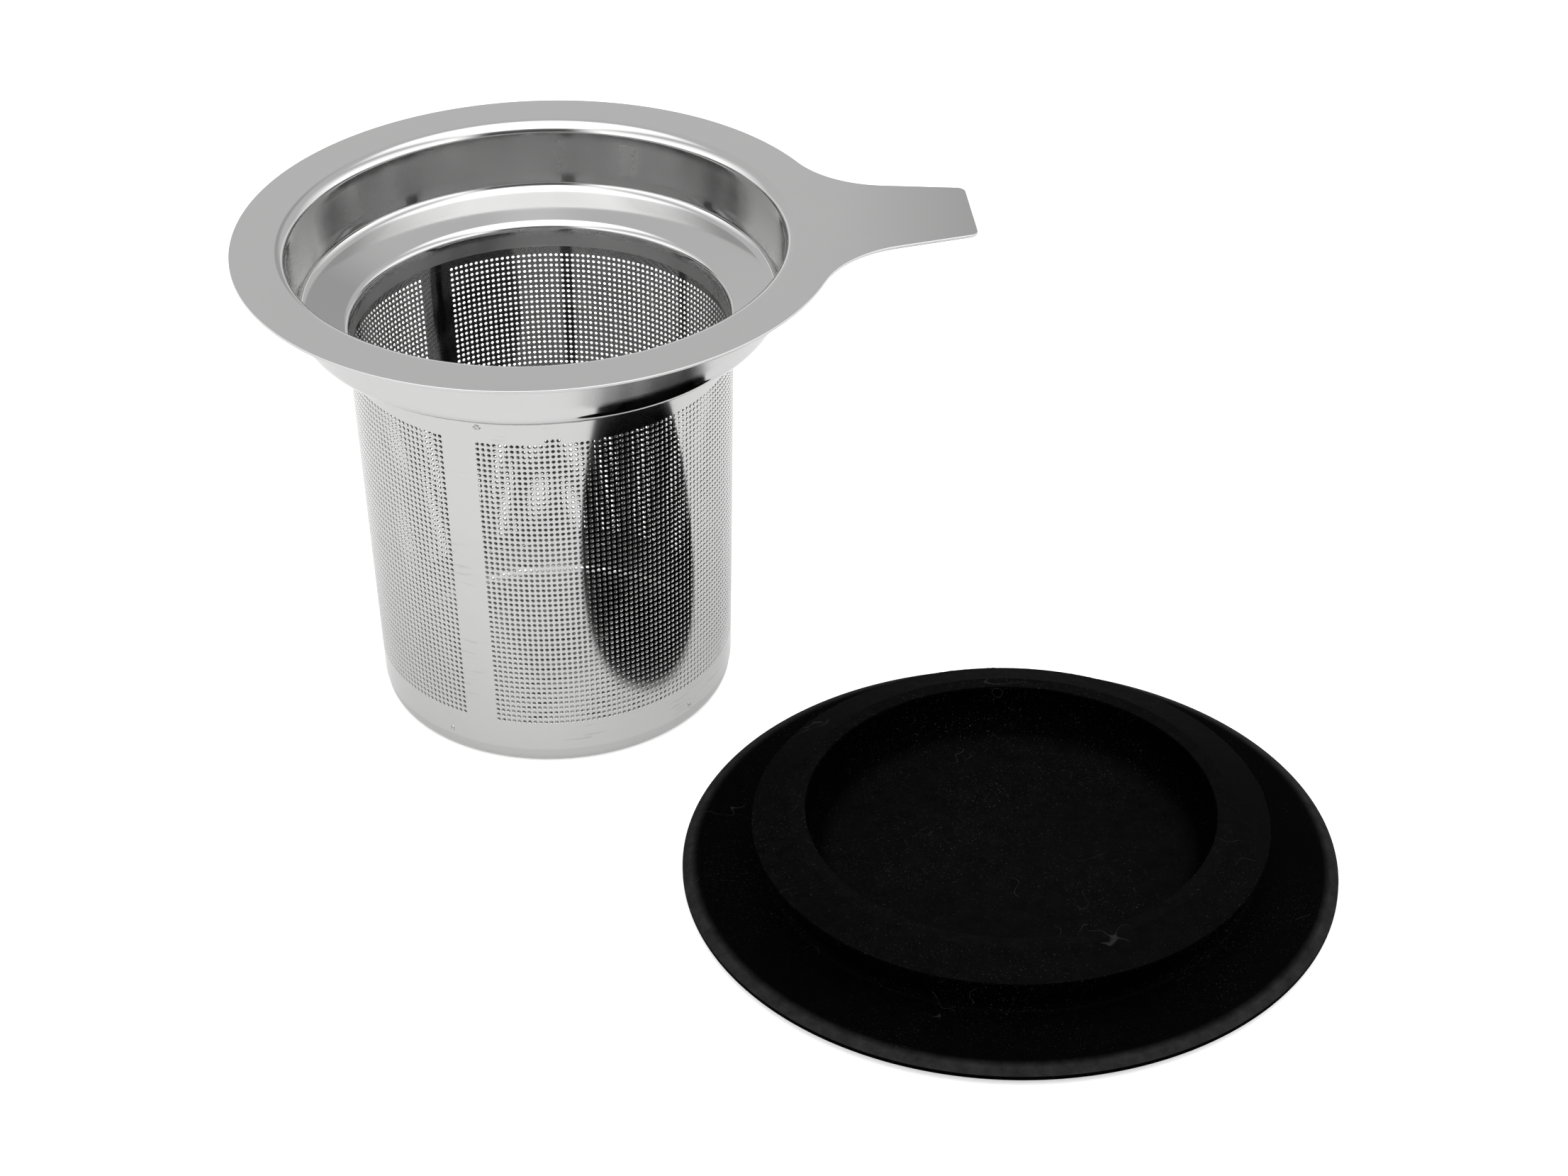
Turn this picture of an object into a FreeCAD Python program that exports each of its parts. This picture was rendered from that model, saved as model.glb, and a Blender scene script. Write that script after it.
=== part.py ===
"""Infuser basket that hangs in a mug, with its silicone lid lying upside down beside it.

Millimetres, +Z up. The basket stands on the XY plane with its axis on Z and its handle along +X.
Three steel sheets make the basket: the rim collar, the perforated sleeve and the base cup. Spot
welds hold them together. The sleeve is plain here, because it has over ten thousand holes.
"""
import FreeCAD, Part
import math
import os
from FreeCAD import Vector

os.makedirs("parts", exist_ok=True)

AXIS = Vector(0, 0, 1)
ORIGIN = Vector(0, 0, 0)

# ---- Driving dimensions -------------------------------------------------------------------------
overall_height = 73.2         # table to the flange's upper face

# Rim collar, one drawn sheet. Radii are those of its upper face.
collar_sheet = 0.45
flange_radius = 43.0
mouth_radius = 35.3           # where the wall's line meets the flange's face
seat_radius = 34.2            # where the wall's line meets the shelf's
seat_depth = 10.2             # flange face down to that corner
shelf_angle = 18.4            # the shelf falls towards the middle, degrees
skirt_overlap = 2.0           # the skirt's length inside the sleeve
mouth_bend = 1.8
seat_bend = 1.6
throat_bend = 1.4

# Handle, cut from the same sheet as the flange.
handle_length = 19.0          # beyond the flange's edge
handle_tip_width = 14.2
handle_taper = 10.5           # each side, degrees
handle_flare = 15.5           # concave radius that joins it to the flange
handle_corner = 1.4

# Perforated sleeve, a rolled sheet that narrows a little towards the base.
sleeve_sheet = 0.2
sleeve_top_radius = 27.7
sleeve_bottom_radius = 26.15
sleeve_below_shelf = 1.938    # shelf's face down to the sleeve's upper edge
seam_angle = 122.7            # the welded seam, degrees round from the handle
seam_gap = 0.1

# Base cup, a shallow drawn pan.
base_sheet = 0.4
base_height = 5.0
base_lip = 2.6                # what shows below the sleeve
base_bend = 1.5

# Spot welds.
weld_fit = 0.03               # gap between two sheets that are welded together
weld_diameter = 1.2
weld_dimple = 0.05            # each weld lies this far below the sleeve's face
weld_bite = 0.2               # and reaches this far into the inner sheet
weld_edge = 1.0               # weld centre to the sleeve's edge
collar_weld_angles = (-111.2, -21.2, 68.8, 158.8)
base_weld_angles = (-128.9, -45.1, 48.0, 139.0)
seam_weld_count = 6
seam_weld_margin = 5.0        # first and last seam weld to the sleeve's edges

# Silicone lid, upside down: its face and plug point up.
lid_distance = 83.4           # between the two axes
lid_angle = -43.8             # degrees round from the handle
lid_radius = 45.7
lid_flat_radius = 38.0        # the lid's top is flat this far out, then rises
lid_edge_rise = 1.0           # the rim's lower edge stands this far off the table
lid_edge_band = 0.75          # upright band round the rim
lid_face_height = 2.7         # the face that lies on the flange in use
lid_shoulder_width = 1.4
lid_shoulder_round = 4.8
lid_dome_round = 110.0
plug_neck_radius = 33.6
plug_neck_round = 1.2
lip_radius = 35.9
lip_underside = 8.2
lip_underside_rise = 0.4
lip_edge_band = 0.35
lip_top_radius = 30.6         # outer edge of the lip's flat top
lip_top_round = 1.0
plug_height = 10.8
recess_mouth_radius = 28.4
recess_wall_radius = 28.1
recess_floor = 3.0
recess_round = 5.2
small_round = 0.3
edge_round = 0.1


# ---- Outlines -----------------------------------------------------------------------------------
def in_plane(r, z):
    return Vector(r, 0, z)


def unit(v):
    return Vector(v).normalize()


def left_of(direction):
    """The direction turned a quarter turn to the left in the (r, z) plane."""
    return Vector(-direction.z, 0, direction.x)


def arc(start, centre, radius, corner, end):
    """The arc from start to end about centre whose middle points at the corner it rounds."""
    middle = centre + unit(corner - centre) * radius
    return Part.Arc(start, middle, end).toShape()


def line(start, end):
    return Part.LineSegment(start, end).toShape()


def bend_at(before, corner, after, radius):
    """Tangent points and centre of a bend, and +1 where it turns left or -1 where it turns right."""
    come = unit(corner - before)
    go = unit(after - corner)
    turn = math.atan2(come.x * go.z - come.z * go.x, come.x * go.x + come.z * go.z)
    side = 1 if turn > 0 else -1
    tangent = radius * math.tan(abs(turn) / 2)
    start = corner - come * tangent
    end = corner + go * tangent
    centre = start + left_of(come) * (side * radius)
    return start, end, centre, side


def fitted_bends(corners, radii):
    """The radii, all made smaller alike where two bends would meet on a straight between them."""
    tangents = []
    for before, corner, after, radius in zip(corners, corners[1:], corners[2:], radii):
        start = bend_at(before, corner, after, radius)[0]
        tangents.append((corner - start).Length)
    share = 1.0
    for i in range(len(tangents) - 1):
        straight = (corners[i + 2] - corners[i + 1]).Length
        share = min(share, 0.9 * straight / (tangents[i] + tangents[i + 1]))
    return [radius * share for radius in radii]


def bent_sheet(corners, radii, sheet):
    """A sheet's section. The corners run along one face, and the metal lies to their left."""
    face = []
    back = []
    face_from = corners[0]
    back_from = corners[0] + left_of(unit(corners[1] - corners[0])) * sheet
    first_back = back_from
    for before, corner, after, radius in zip(corners, corners[1:], corners[2:], radii):
        start, end, centre, side = bend_at(before, corner, after, radius)
        back_radius = radius - side * sheet
        back_start = centre + unit(start - centre) * back_radius
        back_end = centre + unit(end - centre) * back_radius
        face += [line(face_from, start), arc(start, centre, radius, corner, end)]
        back += [line(back_from, back_start), arc(back_start, centre, back_radius, corner, back_end)]
        face_from = end
        back_from = back_end
    last_back = corners[-1] + left_of(unit(corners[-1] - corners[-2])) * sheet
    face += [line(face_from, corners[-1]), line(corners[-1], last_back)]
    back += [line(back_from, last_back), line(corners[0], first_back)]
    return Part.Wire(Part.__sortEdges__(face + back))


def rounded_outline(corners):
    """A closed outline from (r, z, rounding radius) corners. A radius of 0 keeps a corner sharp."""
    points = [in_plane(r, z) for r, z, _ in corners]
    radii = [radius for _, _, radius in corners]
    count = len(points)
    edges = []
    ends = []
    for i, corner in enumerate(points):
        if radii[i] == 0:
            ends.append((corner, corner))
            continue
        start, end, centre, _ = bend_at(points[i - 1], corner, points[(i + 1) % count], radii[i])
        edges.append(arc(start, centre, radii[i], corner, end))
        ends.append((start, end))
    for i in range(count):
        edges.append(line(ends[i][1], ends[(i + 1) % count][0]))
    return Part.Wire(Part.__sortEdges__(edges))


def revolved(outline):
    return Part.Face(outline).revolve(ORIGIN, AXIS, 360)


def polar(radius, degrees, z=0.0):
    angle = math.radians(degrees)
    return Vector(radius * math.cos(angle), radius * math.sin(angle), z)


# ---- Places that follow from the driving dimensions ---------------------------------------------
shelf_slope = math.tan(math.radians(shelf_angle))
shelf_edge = overall_height - seat_depth - (seat_radius - sleeve_top_radius) * shelf_slope
sleeve_top = shelf_edge - sleeve_below_shelf
sleeve_bottom = base_lip
skirt_bottom = sleeve_top - skirt_overlap
sleeve_taper = (sleeve_top_radius - sleeve_bottom_radius) / (sleeve_top - sleeve_bottom)


def sleeve_outer_radius(z):
    return sleeve_bottom_radius + sleeve_taper * (z - sleeve_bottom)


def sleeve_inner_radius(z):
    return sleeve_outer_radius(z) - sleeve_sheet


def fitted_radius(z_low, z_high):
    """The largest upright tube that goes into the sleeve between two heights."""
    return min(sleeve_inner_radius(z_low), sleeve_inner_radius(z_high)) - weld_fit


skirt_outer_radius = fitted_radius(skirt_bottom, sleeve_top)
throat_radius = skirt_outer_radius - collar_sheet
base_outer_radius = fitted_radius(sleeve_bottom, base_height)

# The seam's cutter and the weld bars reach outwards through one side of the sleeve.
cutter_start = min(sleeve_bottom_radius, sleeve_top_radius) / 2
cutter_length = max(sleeve_bottom_radius, sleeve_top_radius)


# ---- Rim collar ---------------------------------------------------------------------------------
def handle_outline():
    """One side is worked out and the other mirrored: flare, straight taper, rounded corner, tip."""
    taper = math.radians(handle_taper)
    along = Vector(math.cos(taper), -math.sin(taper), 0)
    outward = Vector(math.sin(taper), math.cos(taper), 0)
    tip = Vector(flange_radius + handle_length, handle_tip_width / 2, 0)

    # The flare's centre lies one flare radius beyond the side and beyond the flange's edge.
    offset = tip.dot(outward) + handle_flare
    reach = -math.sqrt((flange_radius + handle_flare) ** 2 - offset ** 2)
    foot = outward * offset
    centres = [foot + along * reach, foot - along * reach]
    centre = max(centres, key=lambda c: c.x)
    rim_point = centre * (flange_radius / centre.Length)
    side_point = centre - outward * handle_flare
    flare_middle = centre + unit((rim_point + side_point) * 0.5 - centre) * handle_flare

    # The rounded corner at the tip.
    half_turn = (math.pi / 2 - taper) / 2
    cut = handle_corner * math.tan(half_turn)
    corner_start = tip - along * cut
    corner_end = tip - Vector(0, cut, 0)
    corner_centre = corner_end - Vector(handle_corner, 0, 0)
    corner_middle = corner_centre + unit(tip - corner_centre) * handle_corner

    def mirrored(v):
        return Vector(v.x, -v.y, 0)

    edges = [line(rim_point, mirrored(rim_point)), line(corner_end, mirrored(corner_end))]
    for side in (lambda v: v, mirrored):
        edges.append(Part.Arc(side(rim_point), side(flare_middle), side(side_point)).toShape())
        edges.append(line(side(side_point), side(corner_start)))
        edges.append(Part.Arc(side(corner_start), side(corner_middle), side(corner_end)).toShape())
    return Part.Wire(Part.__sortEdges__(edges))


def rim_collar():
    shelf_fall = (seat_radius - throat_radius) * shelf_slope
    corners = [
        in_plane(flange_radius, overall_height),
        in_plane(mouth_radius, overall_height),
        in_plane(seat_radius, overall_height - seat_depth),
        in_plane(throat_radius, overall_height - seat_depth - shelf_fall),
        in_plane(throat_radius, skirt_bottom),
    ]
    bends = fitted_bends(corners, [mouth_bend, seat_bend, throat_bend])
    bowl = revolved(bent_sheet(corners, bends, collar_sheet))
    handle = Part.Face(handle_outline()).extrude(AXIS * collar_sheet)
    handle.translate(AXIS * (overall_height - collar_sheet))
    return bowl.fuse(handle).removeSplitter()


# ---- Sleeve and base cup ------------------------------------------------------------------------
def sleeve_cone(inset):
    """A solid cone over the sleeve's height, this far inside its outer face."""
    return Part.makeCone(
        sleeve_bottom_radius - inset,
        sleeve_top_radius - inset,
        sleeve_top - sleeve_bottom,
        AXIS * sleeve_bottom,
    )


def mesh_sleeve(weld_places):
    """The ring gets its weld holes first, and is then slit along the seam."""
    ring = sleeve_cone(0).cut(sleeve_cone(sleeve_sheet)).cut(weld_bars(weld_places))
    seam = Part.makeBox(
        cutter_length, seam_gap, sleeve_top - sleeve_bottom,
        Vector(cutter_start, -seam_gap / 2, sleeve_bottom))
    seam.rotate(ORIGIN, AXIS, seam_angle)
    return ring.cut(seam)


def base_cup():
    corners = [
        in_plane(0, 0),
        in_plane(base_outer_radius, 0),
        in_plane(base_outer_radius, base_height),
    ]
    return revolved(bent_sheet(corners, [base_bend], base_sheet))


# ---- Spot welds ---------------------------------------------------------------------------------
def weld_bars(places):
    """Round bars that point outwards through the sheets, one at each (angle, z)."""
    bars = []
    for degrees, z in places:
        start = polar(cutter_start, degrees, z)
        bars.append(Part.makeCylinder(weld_diameter / 2, cutter_length, start, polar(1, degrees)))
    return Part.makeCompound(bars)


def nuggets(places, core):
    """The weld metal: what lies outside the core and a dimple's depth inside the sleeve's face."""
    return weld_bars(places).common(sleeve_cone(weld_dimple).cut(core))


def inner_core(sheet_radius):
    """The space inside a weld that bites into the sheet of this outer radius."""
    return Part.makeCylinder(
        sheet_radius - weld_bite, sleeve_top - sleeve_bottom, AXIS * sleeve_bottom)


seam_span = sleeve_top - sleeve_bottom - 2 * seam_weld_margin
seam_step = seam_span / (seam_weld_count - 1)
collar_places = [(degrees, sleeve_top - weld_edge) for degrees in collar_weld_angles]
base_places = [(degrees, sleeve_bottom + weld_edge) for degrees in base_weld_angles]
seam_places = [
    (seam_angle, sleeve_bottom + seam_weld_margin + seam_step * i) for i in range(seam_weld_count)
]


# ---- Silicone lid -------------------------------------------------------------------------------
def silicone_lid():
    shoulder_foot = lid_edge_rise + lid_edge_band
    lip_edge = lip_underside + lip_underside_rise
    outline = rounded_outline([
        (0, 0, 0),
        (lid_flat_radius, 0, lid_dome_round),
        (lid_radius, lid_edge_rise, small_round),
        (lid_radius, shoulder_foot, edge_round),
        (lid_radius - lid_shoulder_width, lid_face_height, lid_shoulder_round),
        (plug_neck_radius, lid_face_height, plug_neck_round),
        (plug_neck_radius, lip_underside, small_round),
        (lip_radius, lip_edge, edge_round),
        (lip_radius, lip_edge + lip_edge_band, edge_round),
        (lip_top_radius, plug_height, lip_top_round),
        (recess_mouth_radius, plug_height, small_round),
        (recess_wall_radius, recess_floor, recess_round),
        (0, recess_floor, 0),
    ])
    lid = revolved(outline)
    lid.translate(polar(lid_distance, lid_angle))
    return lid


# ---- Build and write ----------------------------------------------------------------------------
collar_welds = nuggets(collar_places, inner_core(skirt_outer_radius))
base_welds = nuggets(base_places, inner_core(base_outer_radius))
seam_welds = nuggets(seam_places, sleeve_cone(sleeve_sheet))

nodes = {
    "rim_collar": rim_collar().cut(collar_welds),
    "mesh_sleeve": mesh_sleeve(collar_places + base_places + seam_places),
    "base_cup": base_cup().cut(base_welds),
    "collar_spot_welds": collar_welds,
    "base_spot_welds": base_welds,
    "seam_spot_welds": seam_welds,
    "silicone_lid": silicone_lid(),
}
for name, shape in nodes.items():
    shape.exportStep(f"parts/{name}.step")
    box = shape.BoundBox
    print(
        f"{name:18} solids {len(shape.Solids)} valid {shape.isValid()} volume {shape.Volume:9.2f}"
        f"  x {box.XMin:7.2f} {box.XMax:7.2f}  y {box.YMin:7.2f} {box.YMax:7.2f}"
        f"  z {box.ZMin:6.2f} {box.ZMax:6.2f}")
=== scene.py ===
# %% [markdown]
# # An infuser basket for a mug, with its lid
#
# The basket is three sheets of stainless steel: a drawn collar with one flat handle, a sleeve with
# over ten thousand small holes, and a shallow cup that closes the bottom. Spot welds hold them
# together. The lid is one moulding of soft black silicone, and it lies upside down on the table.
# The CAD model gives the frame, and this script builds the finished surfaces around it.

import bmesh
import bpy
import math
import numpy as np
from mathutils import Matrix, Vector, noise


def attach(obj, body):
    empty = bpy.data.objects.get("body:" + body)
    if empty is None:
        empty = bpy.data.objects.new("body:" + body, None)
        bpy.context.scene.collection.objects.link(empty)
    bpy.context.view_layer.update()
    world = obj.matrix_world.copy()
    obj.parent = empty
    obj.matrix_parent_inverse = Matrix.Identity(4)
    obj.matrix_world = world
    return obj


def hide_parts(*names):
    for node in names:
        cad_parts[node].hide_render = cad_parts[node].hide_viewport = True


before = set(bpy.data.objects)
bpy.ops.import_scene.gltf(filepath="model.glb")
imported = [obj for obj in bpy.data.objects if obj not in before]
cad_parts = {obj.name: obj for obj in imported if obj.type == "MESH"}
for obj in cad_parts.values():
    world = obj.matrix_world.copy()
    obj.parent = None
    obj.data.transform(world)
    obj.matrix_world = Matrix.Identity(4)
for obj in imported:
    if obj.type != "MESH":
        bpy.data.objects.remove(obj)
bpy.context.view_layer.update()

# %% [markdown]
# Sizes are in millimetres, as on a workshop drawing, and MM turns them into metres where a mesh is
# made. They are the sizes that the CAD model was driven by, so each surface lands on its CAD part.

# %% Sizes of the metal
MM = 0.001

overall_height = 73.2
collar_sheet = 0.45
flange_radius = 43.0
mouth_radius = 35.3
seat_radius = 34.2
seat_depth = 10.2
shelf_slope = math.tan(math.radians(18.4))
skirt_overlap = 2.0
mouth_bend = 1.8
seat_bend = 1.6
throat_bend = 1.4

handle_length = 19.0
handle_tip_width = 14.2
handle_taper = math.radians(10.5)
handle_flare = 15.5
handle_corner = 1.4

sleeve_sheet = 0.2
sleeve_top_radius = 27.7
sleeve_bottom_radius = 26.15
sleeve_bottom = 2.6
sleeve_below_shelf = 1.938

base_sheet = 0.4
base_height = 5.0
base_bend = 1.5
weld_fit = 0.03

# %% Places that follow from them
shelf_edge = overall_height - seat_depth - (seat_radius - sleeve_top_radius) * shelf_slope
sleeve_top = shelf_edge - sleeve_below_shelf
skirt_bottom = sleeve_top - skirt_overlap
sleeve_taper = (sleeve_top_radius - sleeve_bottom_radius) / (sleeve_top - sleeve_bottom)


def sleeve_radius(z):
    return sleeve_bottom_radius + sleeve_taper * (z - sleeve_bottom)


throat_radius = sleeve_radius(skirt_bottom) - sleeve_sheet - weld_fit - collar_sheet
base_radius = sleeve_radius(sleeve_bottom) - sleeve_sheet - weld_fit
print(f"sleeve {sleeve_bottom} to {sleeve_top:.2f}, throat {throat_radius:.2f}, base {base_radius:.2f}")

# %% [markdown]
# ## Sections
#
# Sheet metal is easiest to draw as the line its face follows, bent at each corner. The same line
# moved sideways by the sheet's thickness is the other face. Each point keeps its exact surface
# normal, because polished steel is a mirror, and a mirror shows the smallest error in a normal.


# %% Bent paths and rounded ends
bend_step = math.radians(5)
fewest_steps = 3


def left_of(direction):
    return Vector((-direction.y, direction.x))


def bend_at(before, corner, after, radius):
    """Start, centre, side (+1 left, -1 right) and angle of a bend in a path."""
    come = (corner - before).normalized()
    go = (after - corner).normalized()
    turn = math.atan2(come.x * go.y - come.y * go.x, come.dot(go))
    side = 1 if turn > 0 else -1
    tangent = radius * math.tan(abs(turn) / 2)
    start = corner - come * tangent
    return start, start + left_of(come) * (side * radius), side, abs(turn)


def bent_path(corners, radii, shift=0.0, step=bend_step):
    """[(point, left-hand normal)] along a path that lies shift to the left of the corners."""
    corners = [Vector(c) for c in corners]
    first = left_of((corners[1] - corners[0]).normalized())
    last = left_of((corners[-1] - corners[-2]).normalized())
    path = [(corners[0] + first * shift, first)]
    for before, corner, after, radius in zip(corners, corners[1:], corners[2:], radii):
        start, centre, side, turn = bend_at(before, corner, after, radius)
        reach = radius - side * shift
        from_angle = math.atan2(start.y - centre.y, start.x - centre.x)
        count = max(fewest_steps, math.ceil(turn / step))
        for i in range(count + 1):
            angle = from_angle + side * turn * i / count
            spoke = Vector((math.cos(angle), math.sin(angle)))
            path.append((centre + spoke * reach, spoke * -side))
    path.append((corners[-1] + last * shift, last))
    return path


def rounded_end(tip, along, left, sheet, edge, steps=3):
    """Points and outward normals round a sheet's cut end, from its right face to its left face."""
    points = []
    for inset, start, stop in ((edge, -left, along), (sheet - edge, along, left)):
        centre = tip - along * edge + left * inset
        for i in range(steps + 1):
            turn = math.pi / 2 * i / steps
            normal = start * math.cos(turn) + stop * math.sin(turn)
            points.append((centre + normal * edge, normal))
    return points


# %% [markdown]
# A turned piece is a section swept round the axis. Blender's Spin does this too, but building the
# grid of points directly keeps the exact normals. A section that ends on the axis closes in a fan.


# %% Turned meshes
on_axis = 1e-6


def add_object(name, data):
    thing = bpy.data.objects.new(name, data)
    bpy.context.scene.collection.objects.link(thing)
    return thing


def mesh_of(name, points, faces):
    """A mesh in metres of points in millimetres."""
    mesh = bpy.data.meshes.new(name)
    mesh.from_pydata([tuple(p) for p in np.asarray(points) * MM], [], faces)
    return mesh


def turn_outwards(shape):
    """Turns the faces of a closed shape outwards, and counts the edges that are still open."""
    if shape.calc_volume(signed=True) < 0:
        bmesh.ops.reverse_faces(shape, faces=shape.faces)
    return sum(1 for edge in shape.edges if not edge.is_manifold)


def make_smooth(mesh):
    mesh.polygons.foreach_set("use_smooth", [True] * len(mesh.polygons))


def polished_mesh(name, points, faces, normals):
    """A mesh with faces outwards and smooth, exact normals."""
    mesh = mesh_of(name, points, faces)
    shape = bmesh.new()
    shape.from_mesh(mesh)
    turn_outwards(shape)
    shape.to_mesh(mesh)
    shape.free()
    make_smooth(mesh)
    mesh.normals_split_custom_set_from_vertices([tuple(n) for n in normals])
    return mesh


def add_piece(name, mesh, material):
    piece = add_object(name, mesh)
    mesh.materials.clear()
    mesh.materials.append(material)
    triangles = sum(len(face.vertices) - 2 for face in mesh.polygons)
    print(f"{name}: {triangles} triangles")
    return piece


def sweep_faces(columns, rows, closed):
    """Quads of a grid of columns x rows that is closed round the columns."""
    faces = []
    last = rows if closed else rows - 1
    for c in range(columns):
        here, there = c * rows, (c + 1) % columns * rows
        for r in range(last):
            up = (r + 1) % rows
            faces.append((here + r, there + r, there + up, here + up))
    return faces


def turned(section, columns, change=None):
    """Points, faces and normals of a section turned about Z. An open section has both ends on the
    axis, and change may move a ring's points: change(angle, r, z) gives the new r and z."""
    closed = section[0][0].x > on_axis
    rings = section if closed else section[1:-1]
    points, normals = [], []
    for c in range(columns):
        angle = 2 * math.pi * c / columns
        cos, sin = math.cos(angle), math.sin(angle)
        for point, normal in rings:
            r, z = change(angle, point.x, point.y) if change else (point.x, point.y)
            points.append((r * cos, r * sin, z))
            normals.append((normal.x * cos, normal.x * sin, normal.y))
    faces = sweep_faces(columns, len(rings), closed)
    if not closed:
        for end, ring in ((section[0], 0), (section[-1], len(rings) - 1)):
            pole = len(points)
            points.append((0, 0, end[0].y))
            normals.append((0, 0, end[1].y))
            for c in range(columns):
                here, there = c * len(rings) + ring, (c + 1) % columns * len(rings) + ring
                faces.append((here, pole, there) if ring == 0 else (there, pole, here))
    return points, faces, normals


# %% [markdown]
# ## Finishes
#
# All the steel is bright rolled sheet, so its colour is nearly even and its character lies in the
# roughness: fine marks from rolling and drawing, faint smudges, and a duller, slightly torn edge
# where the sheet was cut. The sleeve's inner face and hole walls carry a painted shade. One shader
# group makes these marks, and each steel uses it at its own strength. It reads Object coordinates,
# so the marks stay in place on the piece. The next cell holds short ways to write the nodes, since
# every finish and every node tree here needs them.


# %% Short ways to write nodes
def fill(tree, node, inputs):
    """Gives a node its inputs, each as a socket to link or as a value."""
    for name, value in inputs.items():
        if isinstance(value, bpy.types.NodeSocket):
            tree.links.new(value, node.inputs[name])
        else:
            node.inputs[name].default_value = value
    return node


def new_node(tree, kind, inputs=(), **settings):
    node = tree.nodes.new(kind)
    for name, value in settings.items():
        setattr(node, name, value)
    return fill(tree, node, dict(inputs))


def maths(tree, operation, *values, clamp=False):
    """The result of a Math node. Its values are sockets or numbers."""
    node = new_node(tree, "ShaderNodeMath", enumerate(values), operation=operation, use_clamp=clamp)
    return node.outputs[0]


def product(tree, first, *others):
    for other in others:
        first = maths(tree, "MULTIPLY", first, other)
    return first


def plus(tree, base, mask, amount):
    """The base, with mask times amount added to it."""
    return maths(tree, "MULTIPLY_ADD", mask, amount, base)


def vector_maths(tree, operation, *values):
    return new_node(tree, "ShaderNodeVectorMath", enumerate(values), operation=operation).outputs


def noise_at(tree, place, scale, detail=2, roughness=0.5):
    inputs = {"Vector": place, "Scale": scale, "Detail": detail, "Roughness": roughness}
    return new_node(tree, "ShaderNodeTexNoise", inputs).outputs[0]


def spread(tree, value, low, high, to_low=0.0, to_high=1.0):
    """Map Range: low..high becomes to_low..to_high, and nothing goes past them."""
    inputs = {"Value": value, "From Min": low, "From Max": high, "To Min": to_low, "To Max": to_high}
    return new_node(tree, "ShaderNodeMapRange", inputs).outputs[0]


def fade(tree, value, full, none):
    """1 up to full, and 0 from none on."""
    return spread(tree, value, full, none, 1.0, 0.0)


def stretched(tree, place, scale):
    return new_node(tree, "ShaderNodeMapping", {"Vector": place, "Scale": scale}).outputs[0]


def parts_of(tree, vector):
    return new_node(tree, "ShaderNodeSeparateXYZ", {0: vector}).outputs


def object_place(tree):
    return tree.nodes.new("ShaderNodeTexCoord").outputs["Object"]


def face_normal(tree):
    return tree.nodes.new("ShaderNodeNewGeometry").outputs["Normal"]


def add_sockets(tree, way, kind, *names):
    for name in names:
        tree.interface.new_socket(name, in_out=way, socket_type="NodeSocket" + kind)


# %% A shader group for worked steel
cut_edge_dullness = 0.22
smudge_shade = -0.5
mottle_relief = 0.5


def worked_steel_group():
    group = bpy.data.node_groups.new("Worked steel", "ShaderNodeTree")
    add_sockets(group, "INPUT", "Float", "Roughness", "Mottle", "Draw Marks", "Smudge", "Scratches",
                "Cut Edge")
    add_sockets(group, "OUTPUT", "Float", "Roughness", "Tint", "Height")
    given = group.nodes.new("NodeGroupInput").outputs
    place = object_place(group)

    # Draw marks run up the wall, so their pattern hardly changes with height.
    upright = stretched(group, place, (1, 1, 0.05))
    marks = noise_at(group, upright, scale=1400, detail=3, roughness=0.6)
    broad = noise_at(group, upright, scale=160)

    # Mottle is the fine unevenness of rolled sheet, and smudges are patches left by handling.
    mottle = noise_at(group, place, scale=900, detail=4, roughness=0.6)
    smudge = spread(group, noise_at(group, place, scale=55, detail=3, roughness=0.6), 0.45, 0.85)

    # Scratches run round the tube in a few places, where it has been wiped.
    level = stretched(group, place, (0.07, 0.07, 1))
    wiped = spread(group, noise_at(group, place, scale=75, detail=1), 0.53, 0.62)
    thin = spread(group, noise_at(group, level, scale=2600, roughness=0.6), 0.60, 0.66)
    scratch = product(group, wiped, thin, given["Scratches"])

    rough = plus(group, given["Roughness"], maths(group, "SUBTRACT", mottle, 0.5), given["Mottle"])
    rough = plus(group, rough, smudge, given["Smudge"])
    rough = plus(group, rough, maths(group, "SUBTRACT", broad, 0.45), given["Draw Marks"])
    rough = plus(group, rough, given["Cut Edge"], cut_edge_dullness)
    rough = maths(group, "ADD", rough, scratch, clamp=True)

    tint = plus(group, 1.0, smudge, product(group, given["Smudge"], smudge_shade))
    tint = maths(group, "SUBTRACT", tint, scratch)

    torn = noise_at(group, place, scale=4000, roughness=0.7)
    height = product(group, marks, given["Draw Marks"])
    height = plus(group, height, mottle, product(group, given["Mottle"], mottle_relief))
    height = plus(group, height, torn, given["Cut Edge"])

    new_node(group, "NodeGroupOutput", {"Roughness": rough, "Tint": tint, "Height": height})
    return group


worked_steel = worked_steel_group()


# %% The four steels
satin_fade = 0.5


def principled(name):
    material = bpy.data.materials.new(name)
    material.use_nodes = True
    tree = material.node_tree
    return material, tree, tree.nodes["Principled BSDF"]


def relief(tree, height, distance, strength=1.0):
    """The normal of a surface whose marks stand out by up to distance, in millimetres."""
    inputs = {"Height": height, "Strength": strength, "Distance": distance * MM}
    return new_node(tree, "ShaderNodeBump", inputs).outputs[0]


def painted_inner_shade_share(tree):
    """Where the painted shade goes: 0 on faces that look straight out from the basket's axis,
    and 1 on all others.
    """
    flat = vector_maths(tree, "MULTIPLY", object_place(tree), (1, 1, 0))["Vector"]
    spoke = vector_maths(tree, "NORMALIZE", flat)["Vector"]
    facing = vector_maths(tree, "DOT_PRODUCT", spoke, face_normal(tree))["Value"]
    return spread(tree, facing, 0.95, 0.75)


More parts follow.
